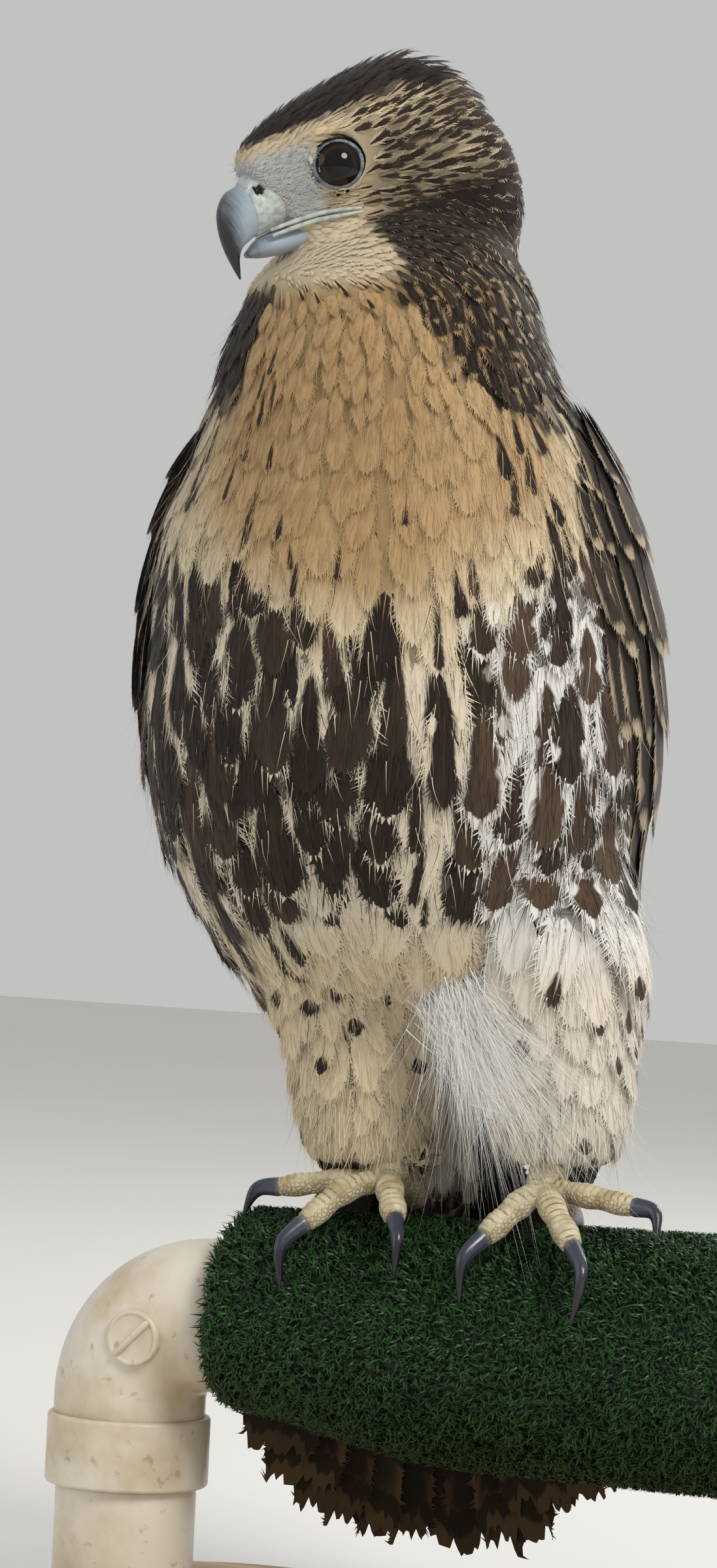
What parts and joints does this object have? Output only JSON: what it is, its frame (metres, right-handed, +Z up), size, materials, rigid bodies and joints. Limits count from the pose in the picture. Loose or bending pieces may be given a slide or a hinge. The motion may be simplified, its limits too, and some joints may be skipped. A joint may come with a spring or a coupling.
{
  "type": "red-tailed hawk on perch",
  "caption": "Juvenile red-tailed hawk, life size, standing upright with its head turned to its right and folded wings, on a short turf-wrapped pipe perch with a plain stand.",
  "frame": {"origin": "underside of the stand's base, below the middle of the two feet", "axes": "+Z up through the bird; the perch runs along X; the breast faces -Y and the bird's left side is towards +X"},
  "size_m": [0.332, 0.1645, 0.5279],
  "materials": {
    "crown_feather": "dark brown crown feathers with buff cheeks and brow",
    "neck_feather": "brown and buff streaked neck feathers",
    "breast_feather": "warm buff breast, cream belly with dark teardrop marks",
    "leg_feather": "cream leg feathers with small brown spots",
    "wing_feather": "dark brown wing feathers with pale edges and faint bars",
    "tail_feather": "brown tail feathers with narrow dark bars and worn pale tips",
    "eye": "wet dark brown iris and black pupil under a clear cornea",
    "cere": "waxy pale blue-grey to greenish skin",
    "bill_horn": "blue-grey horn darkening to black at the tip",
    "foot_scales": "dull cream-yellow scaled skin",
    "claw_horn": "smooth black horn with a blue sheen",
    "green_turf": "dense dark green artificial turf",
    "pale_pvc": "weathered off-white plastic pipe, slightly stained",
    "stand_board": "plain satin board"
  },
  "bodies": {
    "root": {"head": "crown_feather", "neck": "neck_feather", "torso": "breast_feather", "leg_feathers_left": "leg_feather", "leg_feathers_right": "leg_feather", "wing_left": "wing_feather", "wing_right": "wing_feather", "tail": "tail_feather", "eye_left": "eye", "eye_right": "eye", "cere": "cere", "beak_upper": "bill_horn", "beak_lower": "bill_horn", "foot_left": "foot_scales", "foot_right": "foot_scales", "claw_left_inner": "claw_horn", "claw_left_middle": "claw_horn", "claw_left_outer": "claw_horn", "claw_left_hind": "claw_horn", "claw_right_inner": "claw_horn", "claw_right_middle": "claw_horn", "claw_right_outer": "claw_horn", "claw_right_hind": "claw_horn", "perch_turf": "green_turf", "perch_pipe": "pale_pvc", "perch_elbow_left": "pale_pvc", "perch_elbow_right": "pale_pvc", "stand_post_left": "pale_pvc", "stand_post_right": "pale_pvc", "stand_base": "stand_board"}
  },
  "joints": []
}
